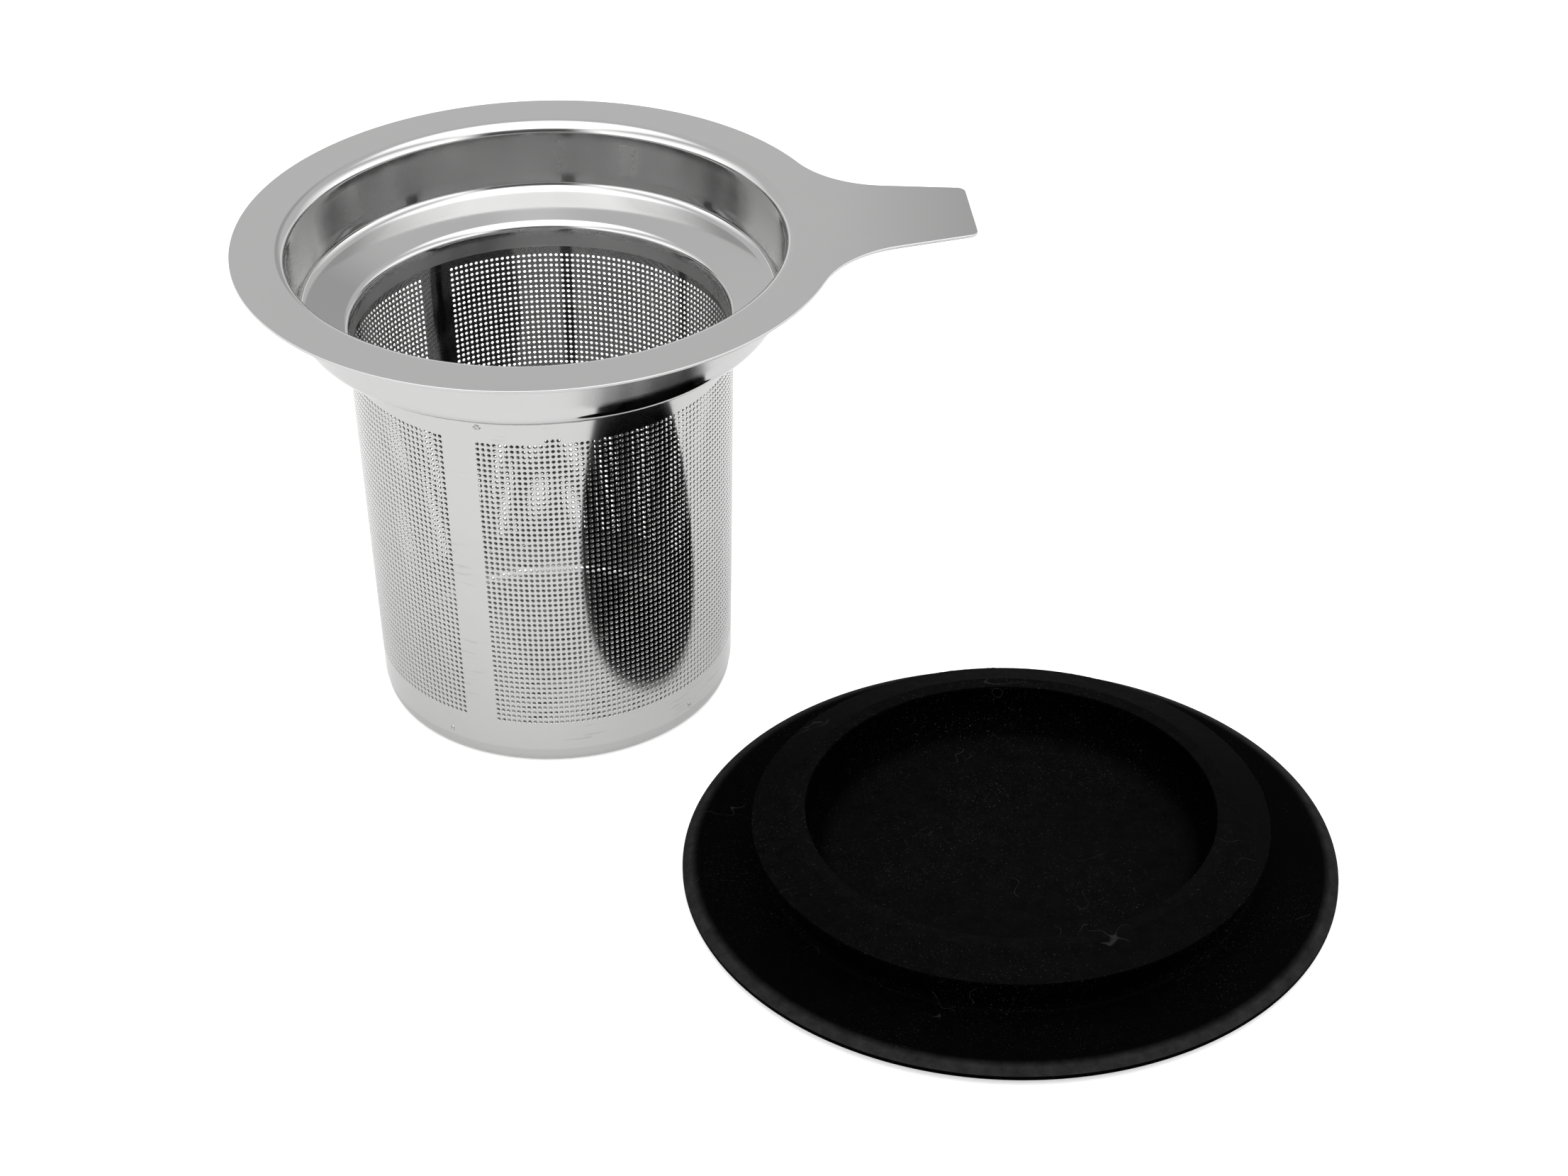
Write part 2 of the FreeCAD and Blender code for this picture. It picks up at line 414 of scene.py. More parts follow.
def steel(name, colour, roughness, mottle, draw_marks, smudge, bump, scratches=0.0, satin=(),
          inside=1.0):
    """Bare steel. Bump is how far the marks stand out, in millimetres. Satin is for the collar, and
    lists its duller bands: start and end height in millimetres, added roughness, added draw marks.
    Inside is the share of the colour left on a sleeve's inner face and on the walls of its holes,
    a painted shade for the dark inside of the basket."""
    material, tree, shader = principled(name)
    cut_edge = 0.0
    if satin:
        z = parts_of(tree, object_place(tree))["Z"]
        for low, high, more_rough, more_marks in satin:
            band = product(tree, spread(tree, z, (low - satin_fade) * MM, (low + satin_fade) * MM),
                           fade(tree, z, (high - satin_fade) * MM, (high + satin_fade) * MM))
            roughness = plus(tree, roughness, band, more_rough)
            draw_marks = plus(tree, draw_marks, band, more_marks)
        cut_edge = new_node(tree, "ShaderNodeAttribute", attribute_name="cut_edge").outputs["Fac"]
    worked = new_node(tree, "ShaderNodeGroup", node_tree=worked_steel)
    fill(tree, worked, {"Roughness": roughness, "Mottle": mottle, "Draw Marks": draw_marks,
                        "Smudge": smudge, "Scratches": scratches, "Cut Edge": cut_edge})
    shade = worked.outputs["Tint"]
    # Painted shade: the sleeve's inner face and the walls of its holes keep only the inside share of the
    # colour.
    if inside < 1.0:
        shade = product(tree, shade, plus(tree, 1.0, painted_inner_shade_share(tree), inside - 1.0))
    tint = new_node(tree, "ShaderNodeMix", {0: 1.0}, data_type="RGBA", blend_type="MULTIPLY")
    fill(tree, tint, {6: (*colour, 1), 7: shade})
    fill(tree, shader, {"Base Color": tint.outputs[2], "Metallic": 1.0,
                        "Roughness": worked.outputs["Roughness"],
                        "Normal": relief(tree, worked.outputs["Height"], bump)})
    print("made finish", name)
    return material


collar_finish = steel(
    "Collar steel", (0.49, 0.49, 0.488), roughness=0.07, mottle=0.03, draw_marks=0.05, smudge=0.04,
    bump=0.0012, satin=[(65.2, 70.8, 0.13, 0.30), (56.0, 59.2, 0.24, 0.24)])
# The sleeve's inner face gets painted shade through inside.
sleeve_finish = steel(
    "Sleeve steel", (0.48, 0.48, 0.477), roughness=0.06, mottle=0.02, draw_marks=0.02, smudge=0.10,
    bump=0.0006, scratches=0.12, inside=0.66)
base_finish = steel(
    "Base steel", (0.44, 0.44, 0.437), roughness=0.10, mottle=0.04, draw_marks=0.04, smudge=0.08,
    bump=0.001)
weld_finish = steel(
    "Weld steel", (0.40, 0.395, 0.39), roughness=0.16, mottle=0.15, draw_marks=0.05, smudge=0.15,
    bump=0.008)

# %% [markdown]
# ## Collar
#
# The collar is one drawn sheet. Its section never changes, but the flange's edge runs out into the
# handle on one side. So the edge is an outline seen from above, with a column of points for each
# step along it, and every column carries the same drawn section inwards and down from there.

# %% The flange's outline, handle and all
cut_edge_round = 0.12
rim_columns = 300
flare_steps = 18
side_steps = 10
corner_steps = 6
tip_steps = 14


def arc_between(centre, start, stop, steps):
    """Points on the shorter arc about centre, with both ends."""
    a = math.atan2(start.y - centre.y, start.x - centre.x)
    b = math.atan2(stop.y - centre.y, stop.x - centre.x)
    turn = (b - a + math.pi) % (2 * math.pi) - math.pi
    radius = (start - centre).length
    return [centre + Vector((math.cos(a + turn * i / steps), math.sin(a + turn * i / steps))) * radius
            for i in range(steps + 1)]


def line_between(start, stop, steps):
    return [start.lerp(stop, i / steps) for i in range(steps + 1)]


def collar_outline():
    """Half of the outline from the tip's middle to the far side of the rim, then its mirror image."""
    along = Vector((math.cos(handle_taper), -math.sin(handle_taper)))
    outward = Vector((math.sin(handle_taper), math.cos(handle_taper)))
    tip = Vector((flange_radius + handle_length, handle_tip_width / 2))

    offset = tip.dot(outward) + handle_flare
    reach = math.sqrt((flange_radius + handle_flare) ** 2 - offset ** 2)
    foot = outward * offset
    centre = max((foot + along * reach, foot - along * reach), key=lambda c: c.x)
    rim_point = centre * (flange_radius / centre.length)
    side_point = centre - outward * handle_flare

    cut = handle_corner * math.tan((math.pi / 2 - handle_taper) / 2)
    corner_start = tip - along * cut
    corner_end = tip - Vector((0, cut))
    corner_centre = corner_end - Vector((handle_corner, 0))

    middle = Vector((tip.x, 0))
    back = Vector((-flange_radius, 0))
    half = line_between(middle, corner_end, tip_steps // 2)
    half += arc_between(corner_centre, corner_end, corner_start, corner_steps)[1:]
    half += line_between(corner_start, side_point, side_steps)[1:]
    half += arc_between(centre, side_point, rim_point, flare_steps)[1:]
    half += arc_between(Vector((0, 0)), rim_point, back, rim_columns // 2)[1:]
    return half + [Vector((p.x, -p.y)) for p in reversed(half[1:-1])]


outline = collar_outline()
print("outline points", len(outline), "handle tip at", outline[0])


# %% [markdown]
# The upper face is followed from the mouth's roll down the wall, over the shelf and into the skirt,
# then round the skirt's cut end and back up the underside. The last stretch goes round the cut
# edge of the flange. That edge gets an attribute of its own, so its finish can be duller there.

# %% Build the collar
def collar_section():
    corners = [
        (flange_radius, overall_height),
        (mouth_radius, overall_height),
        (seat_radius, overall_height - seat_depth),
        (throat_radius, overall_height - seat_depth - (seat_radius - throat_radius) * shelf_slope),
        (throat_radius, skirt_bottom),
    ]
    bends = [mouth_bend, seat_bend, throat_bend]
    face = [(p, -n) for p, n in bent_path(corners, bends)][1:-1]
    back = bent_path(corners, bends, collar_sheet)[1:-1]
    down = Vector((0, -1))
    end = rounded_end(Vector(corners[-1]), down, Vector((1, 0)), collar_sheet, cut_edge_round)
    return face + end + back[::-1]


def make_collar():
    section = collar_section()
    rim = rounded_end(Vector((0, 0)), Vector((1, 0)), Vector((0, 1)), collar_sheet, cut_edge_round)
    underside = overall_height - collar_sheet
    rows = len(section) + len(rim)
    points, normals, edge = [], [], []
    count = len(outline)
    for i, place in enumerate(outline):
        ahead = (outline[(i + 1) % count] - outline[i - 1]).normalized()
        outward = Vector((ahead.y, -ahead.x))
        spoke = place.normalized()
        for point, normal in section:
            points.append((point.x * spoke.x, point.x * spoke.y, point.y))
            normals.append((normal.x * spoke.x, normal.x * spoke.y, normal.y))
            edge.append(0.0)
        for k, (point, normal) in enumerate(rim):
            flat = place + outward * point.x
            points.append((flat.x, flat.y, underside + point.y))
            normals.append((outward.x * normal.x, outward.y * normal.x, normal.y))
            edge.append(0.0 if k in (0, len(rim) - 1) else 1.0)
    mesh = polished_mesh("collar", points, sweep_faces(count, rows, True), normals)
    mesh.attributes.new("cut_edge", "FLOAT", "POINT").data.foreach_set("value", edge)
    return add_piece("drawn_collar", mesh, collar_finish)


collar = make_collar()

# %% [markdown]
# ## Perforated sleeve
#
# The holes are etched in a square grid, and each hole is wider at the sheet's face than inside it.
# A hole is one small cell of sheet, and a Geometry Nodes tree lays the cells out flat, welds them
# into one sheet and bends it round the cone. Cutting ten thousand holes with booleans would be
# slow and fragile. The grid has 213 columns round the basket, in three fields with a plain strip
# of six columns between them. Each field is made in two halves, to keep the meshes light.

# %% Sizes of the grid and of a hole
field_count = 3
field_columns = 65
strip_columns = 6
field_rows = 56
round_columns = field_count * (field_columns + strip_columns)
column_angle = 2 * math.pi / round_columns
row_pitch = 0.865
column_pitch = 0.785
field_foot = 7.6 - row_pitch / 2
first_field = math.radians(-111.43)

hole_mouth = 0.58
hole_throat = 0.43
hole_exit = 0.56
hole_bevel = 0.10
cell_sides = 4
hole_sides = 2 * cell_sides


# %% One cell of the sheet, with a hole and without
def cell_object(name, sheet, width, height, mouth=None):
    """A cell stands in the XZ plane, its face at y = 0 and its back at y = sheet."""
    cell = bmesh.new()

    def corner_ring(y):
        half = width / 2
        return [cell.verts.new(Vector(c) * MM) for c in
                ((half, y, height), (-half, y, height), (-half, y, 0), (half, y, 0))]

    def hole_ring(diameter, y):
        ring = []
        for i in range(hole_sides):
            angle = 2 * math.pi * (i + 0.5) / hole_sides
            x = diameter / 2 * math.cos(angle)
            z = height / 2 + diameter / 2 * math.sin(angle)
            ring.append(cell.verts.new(Vector((x, y, z)) * MM))
        return ring

    face, back = corner_ring(0), corner_ring(sheet)
    if mouth is None:
        cell.faces.new(face)
        cell.faces.new(back[::-1])
    else:
        rings = [hole_ring(mouth, 0), hole_ring(hole_throat, hole_bevel), hole_ring(hole_exit, sheet)]
        for a, b in zip(rings, rings[1:]):
            for i in range(hole_sides):
                j = (i + 1) % hole_sides
                cell.faces.new((a[i], a[j], b[j], b[i]))
        # Each side of the cell is joined to two sides of the hole.
        for corners, ring, front in ((face, rings[0], True), (back, rings[-1], False)):
            for q in range(cell_sides):
                near, far = ring[2 * q], ring[2 * q + 1]
                after = ring[(2 * q + 2) % hole_sides]
                next_corner = corners[(q + 1) % cell_sides]
                for verts in ((corners[q], far, near), (corners[q], next_corner, after, far)):
                    cell.faces.new(verts if front else verts[::-1])
    mesh = bpy.data.meshes.new(name)
    cell.to_mesh(mesh)
    cell.free()
    return bpy.data.objects.new(name, mesh)


open_cell = cell_object("open_cell", sleeve_sheet, column_pitch, row_pitch, hole_mouth)
plain_cell = cell_object("plain_cell", sleeve_sheet, column_pitch, row_pitch)
print("faces in a cell with a hole:", len(open_cell.data.polygons))


# %% [markdown]
# The tree counts its cells from 0. A cell's column is the count modulo the number of columns, and
# its row is the count divided by it. The lowest row and the highest one are the plain bands, so
# they are stretched to the bands' heights. A mask picks which cells get a hole.

# %% The steps that both trees share
weld_reach = 0.005


def cells_on(tree, cell, points, mask, turn=(0, 0, 0), size=(1, 1, 1)):
    """Instances of a cell on the points that the mask picks."""
    shape = new_node(tree, "GeometryNodeObjectInfo", {"Object": cell}).outputs["Geometry"]
    inputs = {"Points": points, "Selection": mask, "Instance": shape, "Rotation": turn, "Scale": size}
    return new_node(tree, "GeometryNodeInstanceOnPoints", inputs).outputs[0]


def welded(tree, cells):
    """The cells made real, with the points where they meet merged."""
    real = new_node(tree, "GeometryNodeRealizeInstances", {0: cells}).outputs[0]
    inputs = {"Geometry": real, "Distance": weld_reach * MM}
    return new_node(tree, "GeometryNodeMergeByDistance", inputs).outputs[0]


def end_tree(tree, shape, material):
    whole = new_node(tree, "GeometryNodeRealizeInstances", {0: shape}).outputs[0]
    inputs = {"Geometry": whole, "Material": material}
    finished = new_node(tree, "GeometryNodeSetMaterial", inputs).outputs[0]
    new_node(tree, "NodeGroupOutput", {0: finished})
    return tree


# %% Geometry Nodes: a perforated sheet bent round a cone
def sheet_tree():
    tree = bpy.data.node_groups.new("Perforated sheet", "GeometryNodeTree")
    add_sockets(tree, "OUTPUT", "Geometry", "Geometry")
    add_sockets(tree, "INPUT", "Object", "Open Cell", "Plain Cell")
    add_sockets(tree, "INPUT", "Material", "Material")
    add_sockets(tree, "INPUT", "Int", "Columns", "Rows", "First Open", "Last Open", "Extra First",
                "Extra Last")
    add_sockets(tree, "INPUT", "Float", "Column Pitch", "Row Pitch", "Foot", "Foot Band", "Head Band",
                "Start Angle", "Column Angle", "Foot Radius", "Taper")
    given = tree.nodes.new("NodeGroupInput").outputs

    def sum_of(first, *others):
        for other in others:
            first = maths(tree, "ADD", first, other)
        return first

    def less(a, b):
        return maths(tree, "SUBTRACT", a, b)

    def times(a, b):
        return product(tree, a, b)

    def divided(a, b):
        return maths(tree, "DIVIDE", a, b)

    def is_row(number):
        return maths(tree, "COMPARE", row, number, 0.5)

    def between(low, high):
        return times(maths(tree, "GREATER_THAN", column, less(low, 0.5)),
                     maths(tree, "LESS_THAN", column, sum_of(high, 0.5)))

    # Column and row of each cell, and what its row is. Half a count keeps the division safe.
    index = tree.nodes.new("GeometryNodeInputIndex").outputs[0]
    column = maths(tree, "MODULO", index, given["Columns"])
    row = maths(tree, "FLOOR", divided(sum_of(index, 0.5), given["Columns"]))
    in_foot = is_row(0)
    in_extra = is_row(sum_of(given["Rows"], 1))
    in_head = is_row(sum_of(given["Rows"], 2))
    in_field = less(1, sum_of(in_foot, in_head, in_extra))

    # Place: the foot band starts at the foot, and every other row follows the band.
    above_band = sum_of(given["Foot"], given["Foot Band"], times(less(row, 1), given["Row Pitch"]))
    z = sum_of(times(in_foot, given["Foot"]), times(less(1, in_foot), above_band))
    x = times(sum_of(column, 0.5), given["Column Pitch"])
    spot = new_node(tree, "ShaderNodeCombineXYZ", {"X": x, "Z": z}).outputs[0]
    count = times(given["Columns"], sum_of(given["Rows"], 3))
    points = new_node(tree, "GeometryNodePoints", {"Count": count, "Position": spot}).outputs[0]

    # Height of each cell, as a share of the row pitch.
    foot_share = times(in_foot, divided(given["Foot Band"], given["Row Pitch"]))
    head_share = times(in_head, divided(given["Head Band"], given["Row Pitch"]))
    share = sum_of(foot_share, head_share, sum_of(in_field, in_extra))
    size = new_node(tree, "ShaderNodeCombineXYZ", {"X": 1, "Y": 1, "Z": share}).outputs[0]

    # Which cells get a hole.
    field = times(in_field, between(given["First Open"], given["Last Open"]))
    extra = times(in_extra, between(given["Extra First"], given["Extra Last"]))
    has_hole = sum_of(field, extra)
    cells = tree.nodes.new("GeometryNodeJoinGeometry")
    for name, mask in (("Open Cell", has_hole), ("Plain Cell", less(1, has_hole))):
        fill(tree, cells, {0: cells_on(tree, given[name], points, mask, size=size)})

    # Weld the flat sheet, then bend it: x runs round the cone, y goes in through the sheet.
    place = parts_of(tree, tree.nodes.new("GeometryNodeInputPosition").outputs[0])
    turn = times(divided(place["X"], given["Column Pitch"]), given["Column Angle"])
    angle = sum_of(given["Start Angle"], turn)
    cone = sum_of(given["Foot Radius"], times(given["Taper"], less(place["Z"], given["Foot"])))
    radius = less(cone, place["Y"])
    bent = new_node(tree, "ShaderNodeCombineXYZ", {
        "X": times(radius, maths(tree, "COSINE", angle)),
        "Y": times(radius, maths(tree, "SINE", angle)),
        "Z": place["Z"],
    }).outputs[0]
    flat_sheet = welded(tree, cells.outputs[0])
    moved = new_node(tree, "GeometryNodeSetPosition", {"Geometry": flat_sheet, "Position": bent})
    return end_tree(tree, moved.outputs[0], given["Material"])


perforated_sheet = sheet_tree()


# %% [markdown]
# The modifier's inputs are set by each socket's identifier, before the object is first evaluated.
# The result becomes a plain mesh, its open rim is bridged so that the sheet has thickness all
# round, and its faces get the cone's own normals, which a mirror finish needs.

# %% From nodes to a finished mesh
same_way = 0.999


def grown_mesh(name, tree, values):
    """Runs a node tree on an empty mesh and returns the plain mesh that comes out."""
    carrier = add_object(name, bpy.data.meshes.new(name))
    modifier = carrier.modifiers.new(name, "NODES")
    modifier.node_group = tree
    sockets = {s.name: s.identifier for s in tree.interface.items_tree if s.in_out == "INPUT"}
    for label, value in values.items():
        modifier[sockets[label]] = value
    carrier.update_tag()
    graph = bpy.context.evaluated_depsgraph_get()
    mesh = bpy.data.meshes.new_from_object(carrier.evaluated_get(graph))
    bpy.data.objects.remove(carrier)
    return mesh


def close_rim(mesh):
    """Bridges the open edge of a sheet's face to the open edge of its back."""
    shape = bmesh.new()
    shape.from_mesh(mesh)
    rim = [edge for edge in shape.edges if edge.is_boundary]
    bmesh.ops.bridge_loops(shape, edges=rim)
    bmesh.ops.recalc_face_normals(shape, faces=shape.faces)
    left_open = turn_outwards(shape)
    shape.to_mesh(mesh)
    shape.free()
    return left_open


def read_values(items, name, width, kind=float):
    """One value or vector of each of a mesh's items, as rows of an array."""
    values = np.empty(len(items) * width, kind)
    items.foreach_get(name, values)
    return values.reshape(-1, width) if width > 1 else values


def cone_normals(mesh):
    """Exact normals on the sheet's two faces. The holes' walls and the rim keep flat ones."""
    co = read_values(mesh.vertices, "co", 3) / MM
    loop_vertex = read_values(mesh.loops, "vertex_index", 1, int)
    sizes = read_values(mesh.polygons, "loop_total", 1, int)
    loop_face = np.repeat(np.arange(len(sizes)), sizes)
    normals = read_values(mesh.polygons, "normal", 3)[loop_face].copy()

    reach = np.hypot(co[:, 0], co[:, 1])
    outward = np.column_stack((co[:, 0] / reach, co[:, 1] / reach, np.full(len(co), -sleeve_taper)))
    outward /= np.linalg.norm(outward, axis=1)[:, None]
    facing = np.einsum("ij,ij->i", normals, outward[loop_vertex])
    on_face = np.abs(facing) > same_way
    normals[on_face] = outward[loop_vertex][on_face] * np.sign(facing[on_face])[:, None]
    make_smooth(mesh)
    mesh.normals_split_custom_set(normals)


def sleeve_part(name, first_column, columns, open_columns, extra_columns):
    """Some columns of the sleeve. The last two are the first and last column with a hole, in the
    field's own rows and in the row above them."""
    mesh = grown_mesh(name, perforated_sheet, {
        "Open Cell": open_cell,
        "Plain Cell": plain_cell,
        "Material": sleeve_finish,
        "Columns": columns,
        "Rows": field_rows,
        "First Open": open_columns[0],
        "Last Open": open_columns[1],
        "Extra First": extra_columns[0],
        "Extra Last": extra_columns[1],
        "Column Pitch": column_pitch * MM,
        "Row Pitch": row_pitch * MM,
        "Foot": sleeve_bottom * MM,
        "Foot Band": (field_foot - sleeve_bottom) * MM,
        "Head Band": (sleeve_top - field_foot - (field_rows + 1) * row_pitch) * MM,
        "Start Angle": first_field + (first_column - 0.5) * column_angle,
        "Column Angle": column_angle,
        "Foot Radius": sleeve_bottom_radius * MM,
        "Taper": sleeve_taper,
    })
    print(name, "edges left open:", close_rim(mesh))
    cone_normals(mesh)
    return add_piece(name, mesh, sleeve_finish)


# %% The sleeve's six parts
side_strip = strip_columns // 2
sector_columns = field_columns + strip_columns
left_columns = (sector_columns + 1) // 2
right_columns = sector_columns - left_columns
extra_holes = (side_strip + 12, side_strip + 14)
no_holes = (-9, -9)

sleeve_parts = []
for field in range(field_count):
    start = field * sector_columns - side_strip
    extra = extra_holes if field == 0 else no_holes
    sleeve_parts.append(sleeve_part(
        f"sleeve_{field + 1}_left", start, left_columns, (side_strip, left_columns - 1), extra))
    sleeve_parts.append(sleeve_part(
        f"sleeve_{field + 1}_right", start + left_columns, right_columns,
        (0, right_columns - side_strip - 1), no_holes))

# %% [markdown]
# ## Base cup
#
# The base is a shallow drawn pan, pushed up inside the sleeve. Its floor is perforated too, so
# that the basket drains. The holes stand in the same square grid, as far out as a circle allows,
# and a plain ring joins the grid's stepped edge to the bend.

# %% Geometry Nodes: a perforated floor
floor_field = 21.5
floor_ring = 23.2
floor_columns = 2 * math.ceil(floor_field / row_pitch) + 1


def floor_tree():
    tree = bpy.data.node_groups.new("Perforated floor", "GeometryNodeTree")
    add_sockets(tree, "OUTPUT", "Geometry", "Geometry")
    add_sockets(tree, "INPUT", "Object", "Open Cell")
    add_sockets(tree, "INPUT", "Material", "Material")
    add_sockets(tree, "INPUT", "Int", "Columns")
    add_sockets(tree, "INPUT", "Float", "Pitch", "Field Radius")
    given = tree.nodes.new("NodeGroupInput").outputs

    span = product(tree, maths(tree, "SUBTRACT", given["Columns"], 1), given["Pitch"])
    inputs = {"Size X": span, "Size Y": span, "Vertices X": given["Columns"],
              "Vertices Y": given["Columns"]}
    grid = new_node(tree, "GeometryNodeMeshGrid", inputs).outputs["Mesh"]
    place = tree.nodes.new("GeometryNodeInputPosition").outputs[0]
    inside = maths(tree, "LESS_THAN", vector_maths(tree, "LENGTH", place)["Value"], given["Field Radius"])
    cells = cells_on(tree, given["Open Cell"], grid, inside, turn=(math.pi / 2, 0, 0))
    return end_tree(tree, welded(tree, cells), given["Material"])


# %% Build the base cup
base_columns = 256
base_edge_round = 0.1
level_slack = 0.01


def base_ring():
    """The pan without its middle: bend, wall and cut end, as an open strip of rings."""
    corners = [(floor_ring, 0), (base_radius, 0), (base_radius, base_height)]
    face = [(p, -n) for p, n in bent_path(corners, [base_bend])][:-1]
    back = bent_path(corners, [base_bend], base_sheet)[:-1]
    end = rounded_end(Vector(corners[-1]), Vector((0, 1)), Vector((-1, 0)), base_sheet, base_edge_round)
    section = face + end + back[::-1]
    points, _, normals = turned(section, base_columns)
    return points, sweep_faces(base_columns, len(section), False), normals


def make_base():
    floor_cell = cell_object("floor_cell", base_sheet, row_pitch, row_pitch, hole_mouth)
    floor_cell.data.transform(Matrix.Translation((0, 0, -row_pitch / 2 * MM)))
    floor = grown_mesh("floor", floor_tree(), {
        "Open Cell": floor_cell,
        "Material": base_finish,
        "Columns": floor_columns,
        "Pitch": row_pitch * MM,
        "Field Radius": floor_field * MM,
    })
    bpy.data.objects.remove(floor_cell)
    points, faces, ring_normals = base_ring()
    ring = mesh_of("ring", points, faces)

    shape = bmesh.new()
    shape.from_mesh(ring)
    ring_count = len(shape.verts)
    shape.from_mesh(floor)
    for level in (0, base_sheet * MM):
        loops = [e for e in shape.edges if e.is_boundary
                 and all(abs(v.co.z - level) < level_slack * MM for v in e.verts)]
        bmesh.ops.triangle_fill(shape, edges=loops, use_beauty=True, use_dissolve=False)
    bmesh.ops.recalc_face_normals(shape, faces=shape.faces)
    print("base cup, edges left open:", turn_outwards(shape))

    # Only the ring's own four-sided faces are curved.
    shape.verts.index_update()
    corner_normals = []
    for face in shape.faces:
        for vertex in face.verts:
            curved = vertex.index < ring_count and len(face.verts) == 4
            corner_normals.append(ring_normals[vertex.index] if curved else tuple(face.normal))
    mesh = bpy.data.meshes.new("base_cup_mesh")
    shape.to_mesh(mesh)
    shape.free()
    make_smooth(mesh)
    mesh.normals_split_custom_set(corner_normals)
    return add_piece("drawn_base", mesh, base_finish)


base = make_base()
for cell in (open_cell, plain_cell):
    bpy.data.objects.remove(cell)

# %% [markdown]
# ## Spot welds
#
# A spot weld leaves a small crater: a dish where the electrode pressed, with a raised lip of metal
# round it. Each mark is a turned button laid on the sleeve's face. The marks under the collar are
# flattened, and the others are a little taller than wide.

# %% Weld marks
collar_weld_angles = (-111.2, -21.2, 68.8, 158.8)
base_weld_angles = (-128.9, -45.1, 48.0, 139.0)
seam_angle = 122.7
weld_edge = 1.0
seam_weld_margin = 5.0
seam_weld_count = 6
weld_sink = 0.03
weld_dish = 0.01
weld_columns = 20
weld_step = math.radians(12)


def crater_section(radius, lip):
    """From the axis, over the dish and the lip, down into the sheet and back to the axis."""
    corners = [(0, weld_dish), (radius * 0.45, weld_dish), (radius * 0.70, lip), (radius, -weld_sink),
               (0, -weld_sink)]
    return bent_path(corners, [radius * 0.15, radius * 0.1, radius * 0.02], step=weld_step)


def weld_marks(name, places, width, lip):
    """Places are (degrees, z, height as a share of width)."""
    section = crater_section(width / 2, lip)
    points, normals, faces = [], [], []
    for degrees, z, tall in places:
        near, quads, facing = turned(section, weld_columns)
        angle = math.radians(degrees)
        outward = Vector((math.cos(angle), math.sin(angle), -sleeve_taper)).normalized()
        across = Vector((-math.sin(angle), math.cos(angle), 0))
        upward = outward.cross(across)
        radius = sleeve_radius(z)
        centre = Vector((radius * math.cos(angle), radius * math.sin(angle), z))
        start = len(points)
        for (x, y, h), n in zip(near, facing):
            points.append(tuple(centre + across * x + upward * y * tall + outward * h))
            normals.append(tuple((across * n[0] + upward * n[1] + outward * n[2]).normalized()))
        faces += [tuple(i + start for i in face) for face in quads]
    return add_piece(name, polished_mesh(name, points, faces, normals), weld_finish)


seam_step = (sleeve_top - sleeve_bottom - 2 * seam_weld_margin) / (seam_weld_count - 1)
seam_foot = sleeve_bottom + seam_weld_margin
collar_marks = weld_marks(
    "collar_weld_marks", [(a, sleeve_top - weld_edge, 0.7) for a in collar_weld_angles],
    width=1.25, lip=0.16)
base_marks = weld_marks(
    "base_weld_marks", [(a, sleeve_bottom + weld_edge, 1.4) for a in base_weld_angles],
    width=0.75, lip=0.12)
seam_marks = weld_marks(
    "seam_weld_marks", [(seam_angle, seam_foot + seam_step * i, 1.2) for i in range(seam_weld_count)],
    width=0.9, lip=0.08)

# %% [markdown]
# ## Silicone lid
#
# The lid is one moulding. Its section is turned like the metal, but silicone is never as crisp:
# the lip carries torn flash where the mould parted. So the ring of points along the lip's edge is
# pushed out by a little noise, and now and then by a burr.

# %% Sizes of the lid
lid_distance = 83.4
lid_angle = math.radians(-43.8)
lid_centre = np.array([math.cos(lid_angle), math.sin(lid_angle), 0]) * lid_distance
lid_radius = 45.7
lid_flat_radius = 38.0
lid_edge_rise = 1.0
lid_edge_band = 0.75
lid_face_height = 2.7
lid_shoulder_width = 1.4
plug_neck_radius = 33.6
lip_radius = 35.9
lip_underside = 8.2
lip_edge = 8.6
lip_edge_band = 0.35
lip_top_radius = 30.6
plug_height = 10.8
recess_mouth_radius = 28.4
recess_wall_radius = 28.1
recess_floor = 3.0
lid_columns = 600

# %% Sizes of the flash on the lip
flash_reach = 0.35
flash_depth = 0.6
flash_middle = lip_edge + 0.1
flash_circle = 30
trim_pitch = 2.3
trim_out = 0.04
trim_up = 0.03
tear_pitch = 0.12
tear_share = 0.25
burr_pitch = 2.9
burr_floor = 0.12
burr_length = 1.5


# %% Build the lid
def lid_section():
    """(r, z, rounding) all round the moulding, from the axis below to the axis above."""
    corners = [
        (0, 0, 0), (lid_flat_radius, 0, 110), (lid_radius, lid_edge_rise, 0.3),
        (lid_radius, lid_edge_rise + lid_edge_band, 0.1),
        (lid_radius - lid_shoulder_width, lid_face_height, 4.8),
        (plug_neck_radius, lid_face_height, 1.2), (plug_neck_radius, lip_underside, 0.3),
        (lip_radius, lip_edge, 0.1), (lip_radius, lip_edge + lip_edge_band, 0.1),
        (lip_top_radius, plug_height, 1.0), (recess_mouth_radius, plug_height, 0.3),
        (recess_wall_radius, recess_floor, 5.2), (0, recess_floor, 0),
    ]
    path = bent_path([c[:2] for c in corners], [c[2] for c in corners[1:-1]])
    return [(p, -n) for p, n in path]


def with_flash(angle, r, z):
    """Burrs on the lip's edge: small where it was trimmed well, larger where it tore."""
    near_lip = max(0.0, 1 - abs(z - flash_middle) / flash_reach) if r > lip_radius - flash_depth else 0.0
    if near_lip == 0.0:
        return r, z
    at = Vector((math.cos(angle), math.sin(angle), 0)) * flash_circle
    torn = max(0.0, noise.noise(at * tear_pitch + Vector((3, 0, 0))) + tear_share)
    fine = noise.noise(at * trim_pitch)
    burr = max(0.0, noise.noise(at * burr_pitch + Vector((0, 7, 0))) - burr_floor)
    out = trim_out * fine + torn * burr * burr_length
    return r + near_lip * out, z + near_lip * trim_up * fine


